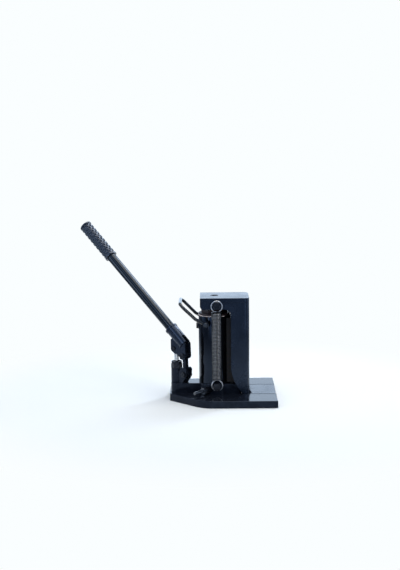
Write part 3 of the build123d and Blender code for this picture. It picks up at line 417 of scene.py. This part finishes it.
spring_steel, place = new_finish("oil_tempered_spring_wire")
scale_colour = add(spring_steel, "ShaderNodeTexNoise", {"Scale": 1 / wire_scale, "Detail": 4.0},
                   {"Vector": place})
wire_tint = add(spring_steel, "ShaderNodeValToRGB", {}, {"Fac": scale_colour.outputs["Fac"]})
for stop, at, colour in zip(wire_tint.color_ramp.elements, (0.35, 0.7), (wire_dark, wire_light)):
    stop.position, stop.color = at, linear(colour)
shader = add(spring_steel, "ShaderNodeBsdfPrincipled", {"Metallic": 1.0, "Roughness": 0.16},
             {"Base Color": wire_tint.outputs["Color"]})
add(spring_steel, "ShaderNodeOutputMaterial", {}, {"Surface": shader.outputs["BSDF"]})

# the loops' brighter steel is partly wear and partly a painted highlight
lit_and_worn_loop, place = new_finish("spring_wire_worn_and_painted_bright_at_the_loops")
scuff = add(lit_and_worn_loop, "ShaderNodeTexNoise", {"Scale": 1 / loop_scuff, "Detail": 4.0},
            {"Vector": place})
scuff_range = add(lit_and_worn_loop, "ShaderNodeMapRange", {"To Min": 0.28, "To Max": 0.45},
                  {"Value": scuff.outputs["Fac"]})
shader = add(lit_and_worn_loop, "ShaderNodeBsdfPrincipled",
             {"Base Color": linear(lit_and_worn_bright), "Metallic": 1.0},
             {"Roughness": scuff_range.outputs["Result"]})
add(lit_and_worn_loop, "ShaderNodeOutputMaterial", {}, {"Surface": shader.outputs["BSDF"]})


def wind_spring(name, side, node):
    """One spring as a single wire: a loop, the close coil and the other loop."""
    route = []
    for step in range(loop_steps + 1):
        turn = pi / 2 - loop_opening - step / loop_steps * (2 * pi - loop_opening)
        route.append((loop_radius * cos(turn), 0.0, loop_low + loop_radius * sin(turn)))
    for step in range(1, lead_steps):
        share = step / lead_steps
        route.append((-coil_radius * sin(share * pi / 2), -lead_bulge * sin(share * pi),
                      coil_low - lead_drop * (1 - share)))
    for step in range(turns * steps_per_turn + 1):
        turn = pi + step / steps_per_turn * 2 * pi
        z = coil_low + (coil_high - coil_low) * step / (turns * steps_per_turn)
        route.append((coil_radius * cos(turn), coil_radius * sin(turn), z))
    for step in range(lead_steps - 1, 0, -1):
        share = step / lead_steps
        route.append((-coil_radius * sin(share * pi / 2), lead_bulge * sin(share * pi),
                      coil_high + lead_drop * (1 - share)))
    for step in range(loop_steps + 1):
        turn = -pi / 2 - step / loop_steps * (2 * pi - loop_opening)
        route.append((loop_radius * cos(turn), 0.0, loop_high + loop_radius * sin(turn)))
    line = bpy.data.curves.new(name, "CURVE")
    line.dimensions = "3D"
    line.bevel_depth = wire_radius
    line.bevel_resolution = 2
    line.use_fill_caps = True
    run = line.splines.new("POLY")
    run.points.add(len(route) - 1)
    for point, (x, y, z) in zip(run.points, route):
        point.co = (spring_x + x, side * spring_offset + y, z, 1.0)
    wire = bpy.data.objects.new(name, line)
    bpy.context.scene.collection.objects.link(wire)
    bpy.ops.object.select_all(action="DESELECT")
    wire.select_set(True)
    bpy.context.view_layer.objects.active = wire
    bpy.ops.object.convert(target="MESH")
    bpy.ops.object.shade_smooth()
    wire.data.materials.clear()
    wire.data.materials.append(spring_steel)
    wire.data.materials.append(lit_and_worn_loop)
    # the loops get the brighter steel, partly wear and partly a painted highlight
    for face in wire.data.polygons:
        if not coil_low < face.center.z < coil_high:
            face.material_index = 1
    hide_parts(node)
    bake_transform(wire)


wind_spring("front_spring_wire", -1, "front_return_spring")
wind_spring("rear_spring_wire", 1, "rear_return_spring")


# Valve springs and pin clips: small springs and snap rings of the same tempered wire, left
# with the same grey scale on them.
dress(spring_steel, "valve_springs", "link_foot_clip", "socket_clips")


# Handle tube: seamless steel tube, drawn to size and given one thin coat of blue-black
# enamel. It is smooth enough to show one long narrow light from end to end.
tube_black, tube_gloss = "0D1114", "CBDAEE"
tube_peel_size, tube_peel_depth = 0.003, 0.00001

tube_enamel, place = new_finish("blue_black_enamel_on_tube")
tube_peel = add(tube_enamel, "ShaderNodeTexNoise", {"Scale": 1 / tube_peel_size, "Detail": 2.0},
                {"Vector": place})
tube_bump = add(tube_enamel, "ShaderNodeBump", {"Strength": 1.0, "Distance": tube_peel_depth},
                {"Height": tube_peel.outputs["Fac"]})
tube_range = add(tube_enamel, "ShaderNodeMapRange", {"To Min": 0.09, "To Max": 0.15},
                 {"Value": tube_peel.outputs["Fac"]})
shader = add(tube_enamel, "ShaderNodeBsdfPrincipled",
             {"Base Color": linear(tube_black), "IOR": 1.52, "Specular Tint": linear(tube_gloss)},
             {"Roughness": tube_range.outputs["Result"], "Normal": tube_bump.outputs["Normal"]})
add(tube_enamel, "ShaderNodeOutputMaterial", {}, {"Surface": shader.outputs["BSDF"]})
dress(tube_enamel, "handle_tube")


# Carry bail: round steel rod, bent cold and dipped in black enamel. The dip leaves it thick,
# glossy and slightly uneven.
rod_black = "0B0D11"
dip_wave, dip_depth = 0.004, 0.00003

rod_enamel, place = new_finish("dipped_black_enamel_on_rod")
rod_peel = add(rod_enamel, "ShaderNodeTexNoise", {"Scale": 1 / dip_wave, "Detail": 2.0},
               {"Vector": place})
rod_bump = add(rod_enamel, "ShaderNodeBump", {"Strength": 1.0, "Distance": dip_depth},
               {"Height": rod_peel.outputs["Fac"]})
shader = add(rod_enamel, "ShaderNodeBsdfPrincipled",
             {"Base Color": linear(rod_black), "Roughness": 0.12, "IOR": 1.52},
             {"Normal": rod_bump.outputs["Normal"]})
add(rod_enamel, "ShaderNodeOutputMaterial", {}, {"Surface": shader.outputs["BSDF"]})
dress(rod_enamel, "carry_bail")


# Handle grip: a vulcanised rubber sleeve pushed over the tube, with a flange at each end and
# raised diamonds between, eight to a turn. The mould polished the dark navy rubber, so each
# diamond carries a small clear light, and a faint bloom lightens it in patches.
rubber_shade, rubber_navy = "0A0F17", "141B26"
rubber_bloom = 0.008

grip_rubber, place = new_finish("moulded_navy_rubber")
bloom = add(grip_rubber, "ShaderNodeTexNoise", {"Scale": 1 / rubber_bloom, "Detail": 5.0},
            {"Vector": place})
bloom_tint = add(grip_rubber, "ShaderNodeValToRGB", {}, {"Fac": bloom.outputs["Fac"]})
for stop, at, colour in zip(bloom_tint.color_ramp.elements, (0.4, 0.7),
                            (rubber_shade, rubber_navy)):
    stop.position, stop.color = at, linear(colour)
shader = add(grip_rubber, "ShaderNodeBsdfPrincipled",
             {"Roughness": 0.14, "Coat Weight": 0.6, "Coat Roughness": 0.10, "IOR": 1.52,
              "Specular Tint": linear(blue_gloss)},
             {"Base Color": bloom_tint.outputs["Color"]})
add(grip_rubber, "ShaderNodeOutputMaterial", {}, {"Surface": shader.outputs["BSDF"]})

diamonds_around, diamond_pitch, diamond_rows = 8, 0.0135, 8.6
valley_radius, diamond_rise, diamond_run_out = 0.01480, 0.00205, 0.003
diamond_foot, diamond_slope = 0.47, 0.34  # shares of the pitch, out from a diamond's middle
flange_radius, flange_width, bore_radius = 0.01725, 0.005, 0.0129
steps_around, steps_per_pitch = 120, 20
rows = round(diamond_rows * steps_per_pitch)
field_length = diamond_pitch * diamond_rows
field_end = flange_width + field_length
sleeve_end = field_end + flange_width

# the sleeve's section from its open end to its closed one: how far along, and the radius
near_flange = ((0.0, bore_radius), (0.0, flange_radius - 0.0008),
               (0.0003, flange_radius - 0.0002), (0.0010, flange_radius),
               (flange_width - 0.0010, flange_radius),
               (flange_width - 0.0003, flange_radius - 0.0003),
               (flange_width, valley_radius + 0.0010), (flange_width + 0.0003, valley_radius))
far_flange = ((field_end - 0.0003, valley_radius), (field_end, valley_radius + 0.0010),
              (field_end + 0.0003, flange_radius - 0.0003), (field_end + 0.0010, flange_radius),
              (sleeve_end - 0.0014, flange_radius), (sleeve_end - 0.0005, flange_radius - 0.0006),
              (sleeve_end - 0.0001, flange_radius - 0.0018), (sleeve_end - 0.0001, 0.0125),
              (sleeve_end - 0.0012, 0.0118), (sleeve_end - 0.0006, 0.0060),
              (sleeve_end - 0.0004, 0.0006))
section = [(at, radius, False) for at, radius in near_flange]
section += [(flange_width + field_length * row / rows, valley_radius, True)
            for row in range(1, rows)]
section += [(at, radius, False) for at, radius in far_flange]

# the handle leans up and swings to the back left from the mouth of its socket
lean, swing = radians(40.0), radians(38.0)
pin_x, mouth_reach, mouth_height = -0.102, 0.0185, 0.1865
mouth = Vector((pin_x - mouth_reach * cos(swing), mouth_reach * sin(swing), mouth_height))
along = Vector((-cos(swing) * cos(lean), sin(swing) * cos(lean), sin(lean)))
upper = Vector((cos(swing) * sin(lean), -sin(swing) * sin(lean), cos(lean)))
aside = along.cross(upper)
grip_start = 0.276

corners, faces = [], []
for at, radius, patterned in section:
    for step in range(steps_around):
        turn = 2 * pi * step / steps_around
        height = 0.0
        if patterned:
            across_pitch = diamonds_around * step / steps_around
            up_pitch = (at - flange_width) / diamond_pitch
            nearest = min(
                abs((across_pitch - offset + 0.5) % 1.0 - 0.5)
                + abs((up_pitch - offset + 0.5) % 1.0 - 0.5)
                for offset in (0.0, 0.5))
            rise = min(max((diamond_foot - nearest) / diamond_slope, 0.0), 1.0)
            end = min((at - flange_width) / diamond_run_out,
                      (field_end - at) / diamond_run_out, 1.0)
            height = diamond_rise * rise * rise * (3 - 2 * rise) * end
        outward = upper * cos(turn) + aside * sin(turn)
        corners.append(mouth + along * (grip_start + at) + outward * (radius + height))
for ring in range(len(section) - 1):
    for step in range(steps_around):
        after = (step + 1) % steps_around
        first_ring, next_ring = ring * steps_around, (ring + 1) * steps_around
        faces.append((first_ring + step, first_ring + after, next_ring + after, next_ring + step))
faces.append(tuple(range((len(section) - 1) * steps_around, len(section) * steps_around)))
sleeve = bpy.data.meshes.new("grip_sleeve")
sleeve.from_pydata(corners, [], faces)
grip = bpy.data.objects.new("grip_sleeve", sleeve)
bpy.context.scene.collection.objects.link(grip)
bpy.ops.object.select_all(action="DESELECT")
grip.select_set(True)
bpy.context.view_layer.objects.active = grip
bpy.ops.object.mode_set(mode="EDIT")
bpy.ops.mesh.select_all(action="SELECT")
bpy.ops.mesh.normals_make_consistent(inside=False)
bpy.ops.object.mode_set(mode="OBJECT")
bpy.ops.object.shade_smooth_by_angle(angle=radians(45))
grip.data.materials.append(grip_rubber)
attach(grip, "handle")
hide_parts("handle_grip")


# Seals, packings and filler plug: moulded nitrile rubber, black and dull, pressed or pushed
# into their seats.
nitrile_black = "17181A"
nitrile_patch = 0.002

nitrile, place = new_finish("moulded_nitrile_rubber")
dull = add(nitrile, "ShaderNodeTexNoise", {"Scale": 1 / nitrile_patch, "Detail": 3.0},
           {"Vector": place})
dull_range = add(nitrile, "ShaderNodeMapRange", {"To Min": 0.45, "To Max": 0.65},
                 {"Value": dull.outputs["Fac"]})
shader = add(nitrile, "ShaderNodeBsdfPrincipled",
             {"Base Color": linear(nitrile_black), "IOR": 1.52},
             {"Roughness": dull_range.outputs["Result"]})
add(nitrile, "ShaderNodeOutputMaterial", {}, {"Surface": shader.outputs["BSDF"]})
dress(nitrile, "tank_gaskets", "rod_wiper", "piston_seal", "pump_packing", "filler_plug")


# Ram guide and cylinder washer: a turned bronze bush at the top of the pressure cylinder,
# and a soft copper washer clamped under it. Both tarnish in darker, browner patches.
tarnish_patch = 0.004

for name, warm, worn in (("ram_guide", "A8814A", "8A6A3C"),
                         ("cylinder_washer", "B0704C", "8C5238")):
    soft_metal, place = new_finish("turned_" + name)
    tarnish = add(soft_metal, "ShaderNodeTexNoise", {"Scale": 1 / tarnish_patch, "Detail": 4.0},
                  {"Vector": place})
    metal_tint = add(soft_metal, "ShaderNodeValToRGB", {}, {"Fac": tarnish.outputs["Fac"]})
    for stop, colour in zip(metal_tint.color_ramp.elements, (worn, warm)):
        stop.color = linear(colour)
    shader = add(soft_metal, "ShaderNodeBsdfPrincipled", {"Metallic": 1.0, "Roughness": 0.35},
                 {"Base Color": metal_tint.outputs["Color"]})
    add(soft_metal, "ShaderNodeOutputMaterial", {}, {"Surface": shader.outputs["BSDF"]})
    dress(soft_metal, name)


# Bail screws: cheese-head screws through the bail's eyes into the tank's lugs. Their zinc
# plate has gone grey, and its sheen is a little cloudy.
zinc_grey = "4A4D52"
zinc_cloud = 0.003

zinc, place = new_finish("bright_zinc_plate")
cloudy = add(zinc, "ShaderNodeTexNoise", {"Scale": 1 / zinc_cloud, "Detail": 4.0},
             {"Vector": place})
cloudy_range = add(zinc, "ShaderNodeMapRange", {"To Min": 0.22, "To Max": 0.40},
                   {"Value": cloudy.outputs["Fac"]})
shader = add(zinc, "ShaderNodeBsdfPrincipled",
             {"Base Color": linear(zinc_grey), "Metallic": 1.0},
             {"Roughness": cloudy_range.outputs["Result"]})
add(zinc, "ShaderNodeOutputMaterial", {}, {"Surface": shader.outputs["BSDF"]})
dress(zinc, "bail_screws")


# Studio paper: the jack stands on a matt sheet of pale paper. The camera sees it fade into
# the backdrop all round, and the paint sees its far part as the dim room, so that upright
# faces darken upwards as they do on the real jack.
paper_white, backdrop, dim_room = "F4F9FB", "FAFEFF", "66758A"
sheet_left, sheet_right, sheet_front, sheet_back = -1.2, 1.2, -0.85, 1.4
fade_start, fade_end = 0.45, 0.80
dim_start, dim_end = 0.40, 0.95

bpy.ops.object.select_all(action="DESELECT")
sheet_middle = ((sheet_left + sheet_right) / 2, (sheet_front + sheet_back) / 2, 0)
bpy.ops.mesh.primitive_plane_add(size=1.0, location=sheet_middle)
sheet = bpy.context.active_object
sheet.name = "studio_paper"
bpy.ops.transform.resize(value=(sheet_right - sheet_left, sheet_back - sheet_front, 1))
bpy.ops.object.transform_apply(location=True, rotation=True, scale=True)

paper, place = new_finish("pale_studio_paper")
matt = add(paper, "ShaderNodeBsdfPrincipled",
           {"Base Color": linear(paper_white), "Roughness": 0.9, "Specular IOR Level": 0.0})
distance = add(paper, "ShaderNodeVectorMath", {"operation": "LENGTH"}, {0: place})
rays = add(paper, "ShaderNodeLightPath")
fade = add(paper, "ShaderNodeMapRange",
           {"interpolation_type": "SMOOTHSTEP", "From Min": fade_start, "From Max": fade_end},
           {"Value": distance.outputs["Value"]})
beyond = add(paper, "ShaderNodeEmission", {"Color": linear(backdrop), "Strength": 1.0})
seen = add(paper, "ShaderNodeMath", {"operation": "MAXIMUM"},
           {0: rays.outputs["Is Camera Ray"], 1: rays.outputs["Is Transmission Ray"]})
faded = add(paper, "ShaderNodeMath", {"operation": "MULTIPLY"},
            {0: seen.outputs[0], 1: fade.outputs["Result"]})
as_seen = add(paper, "ShaderNodeMixShader", {},
              {0: faded.outputs[0], 1: matt.outputs["BSDF"], 2: beyond.outputs["Emission"]})
far_off = add(paper, "ShaderNodeMapRange",
              {"interpolation_type": "SMOOTHSTEP", "From Min": dim_start, "From Max": dim_end},
              {"Value": distance.outputs["Value"]})
dimmed = add(paper, "ShaderNodeMath", {"operation": "MULTIPLY"},
             {0: rays.outputs["Is Glossy Ray"], 1: far_off.outputs["Result"]})
room_floor = add(paper, "ShaderNodeEmission", {"Color": linear(dim_room), "Strength": 1.0})
as_mirrored = add(paper, "ShaderNodeMixShader", {},
                  {0: dimmed.outputs[0], 1: as_seen.outputs[0], 2: room_floor.outputs["Emission"]})
add(paper, "ShaderNodeOutputMaterial", {}, {"Surface": as_mirrored.outputs[0]})
sheet.data.materials.append(paper)


# Studio air: the camera sees the pale backdrop. The paint mirrors a bright wall behind the
# jack, a dimmer blue room in front, and tall soft panels either side of the camera, which
# the round parts show as upright streaks. What lights the matt surfaces is soft and bluish.
room_front, room_back, soft_fill = "8DA3C0", "D4EAFF", "D2E5FF"
depth_start, depth_end = -0.35, 0.75
panel_ends = (0.36, 0.85)
panel_stops = ((0.22, 0.30), (0.44, 0.98), (0.60, 0.98), (0.72, 0.16), (0.88, 0.16))
panel_strength, fill_strength = 2.8, 0.40

world = bpy.data.worlds.new("studio_air")
bpy.context.scene.world = world
world.use_nodes = True
world.node_tree.nodes.clear()
way = add(world, "ShaderNodeTexCoord").outputs["Generated"]
parts = add(world, "ShaderNodeSeparateXYZ", {}, {"Vector": way})
depth = add(world, "ShaderNodeMapRange",
            {"interpolation_type": "SMOOTHSTEP", "From Min": depth_start, "From Max": depth_end},
            {"Value": parts.outputs["Y"]})
room = add(world, "ShaderNodeValToRGB", {}, {"Fac": depth.outputs["Result"]})
for stop, colour in zip(room.color_ramp.elements, (room_front, room_back)):
    stop.color = linear(colour)
sideways = add(world, "ShaderNodeMath", {"operation": "ABSOLUTE"}, {0: parts.outputs["X"]})
panels = add(world, "ShaderNodeValToRGB", {}, {"Fac": sideways.outputs[0]})
for stop, level in zip(panels.color_ramp.elements, panel_ends):
    stop.color = (level, level, level, 1.0)
for at, level in panel_stops:
    panels.color_ramp.elements.new(at).color = (level, level, level, 1.0)
bright_panels = add(world, "ShaderNodeMath", {"operation": "MULTIPLY", 1: panel_strength},
                    {0: panels.outputs["Color"]})
around = add(world, "ShaderNodeMix", {3: 1.0},
             {0: depth.outputs["Result"], 2: bright_panels.outputs[0]})
mirrored = add(world, "ShaderNodeBackground", {},
               {"Color": room.outputs["Color"], "Strength": around.outputs[0]})
given = add(world, "ShaderNodeBackground",
            {"Color": linear(soft_fill), "Strength": fill_strength})
shown = add(world, "ShaderNodeBackground", {"Color": linear(backdrop), "Strength": 1.0})
rays = add(world, "ShaderNodeLightPath")
seen = add(world, "ShaderNodeMath", {"operation": "MAXIMUM"},
           {0: rays.outputs["Is Camera Ray"], 1: rays.outputs["Is Transmission Ray"]})
lit = add(world, "ShaderNodeMixShader", {},
          {0: rays.outputs["Is Glossy Ray"], 1: given.outputs[0], 2: mirrored.outputs[0]})
whole = add(world, "ShaderNodeMixShader", {},
            {0: seen.outputs[0], 1: lit.outputs[0], 2: shown.outputs[0]})
add(world, "ShaderNodeOutputWorld", {}, {"Surface": whole.outputs[0]})


# Lamps: one broad warm lamp overhead, a broad cool one behind, two tall strips at the sides
# and one in front on the left for the round parts, and one high at the back right for the
# long light on the handle. None of them is seen by the camera.
for name, where, aim, size, watts, colour in (
        ("overhead_lamp", (0.1, 0.1, 2.2), (0.0, 0.0, 0.1), (1.8, 1.8), 32.0, "FFF5E6"),
        ("back_lamp", (0.1, 2.2, 0.75), (0.0, 0.0, 0.35), (2.6, 1.3), 10.0, "D6E8FF"),
        ("left_lamp", (-1.7, -0.5, 0.8), (0.0, 0.0, 0.15), (0.35, 1.2), 3.6, "DCEBFF"),
        ("right_lamp", (1.4, -1.5, 0.9), (0.0, 0.0, 0.2), (0.22, 1.2), 7.0, "F4F8FF"),
        ("front_strip", (-1.36, -1.46, 0.50), (0.0, 0.0, 0.15), (0.22, 1.5), 4.0, "FFFFFF"),
        ("handle_lamp", (1.05, 1.20, 1.70), (-0.25, 0.1, 0.3), (0.30, 1.2), 17.0, "E6F0FF")):
    lamp = bpy.data.lights.new(name, "AREA")
    lamp.shape = "RECTANGLE"
    lamp.size, lamp.size_y = size
    lamp.energy = watts
    lamp.color = linear(colour)[:3]
    stand = bpy.data.objects.new(name, lamp)
    bpy.context.scene.collection.objects.link(stand)
    stand.location = where
    stand.rotation_euler = (Vector(aim) - Vector(where)).to_track_quat("-Z", "Y").to_euler()
    stand.visible_camera = False


# Camera: a telephoto lens a little over three metres away, half a metre above the jack. It
# looks slightly down and is rolled by half a degree, as in the photograph.
focal_length, sensor_width = 77.11, 36.0
turn, tilt, roll = radians(0.339), radians(8.697), radians(-0.531)
camera_place = (-0.0184, -3.2150, 0.7958)

lens = bpy.data.cameras.new("studio_camera")
lens.lens = focal_length
lens.sensor_width = sensor_width
tripod = bpy.data.objects.new("studio_camera", lens)
bpy.context.scene.collection.objects.link(tripod)
ahead = Vector((-sin(turn) * cos(tilt), cos(turn) * cos(tilt), -sin(tilt)))
across = Vector((cos(turn), sin(turn), 0.0))
above = across.cross(ahead)
across, above = across * cos(roll) + above * sin(roll), above * cos(roll) - across * sin(roll)
tripod.matrix_world = Matrix((across, above, -ahead)).transposed().to_4x4()
tripod.location = camera_place
bpy.context.scene.camera = tripod
bpy.context.scene.view_settings.view_transform = "Standard"
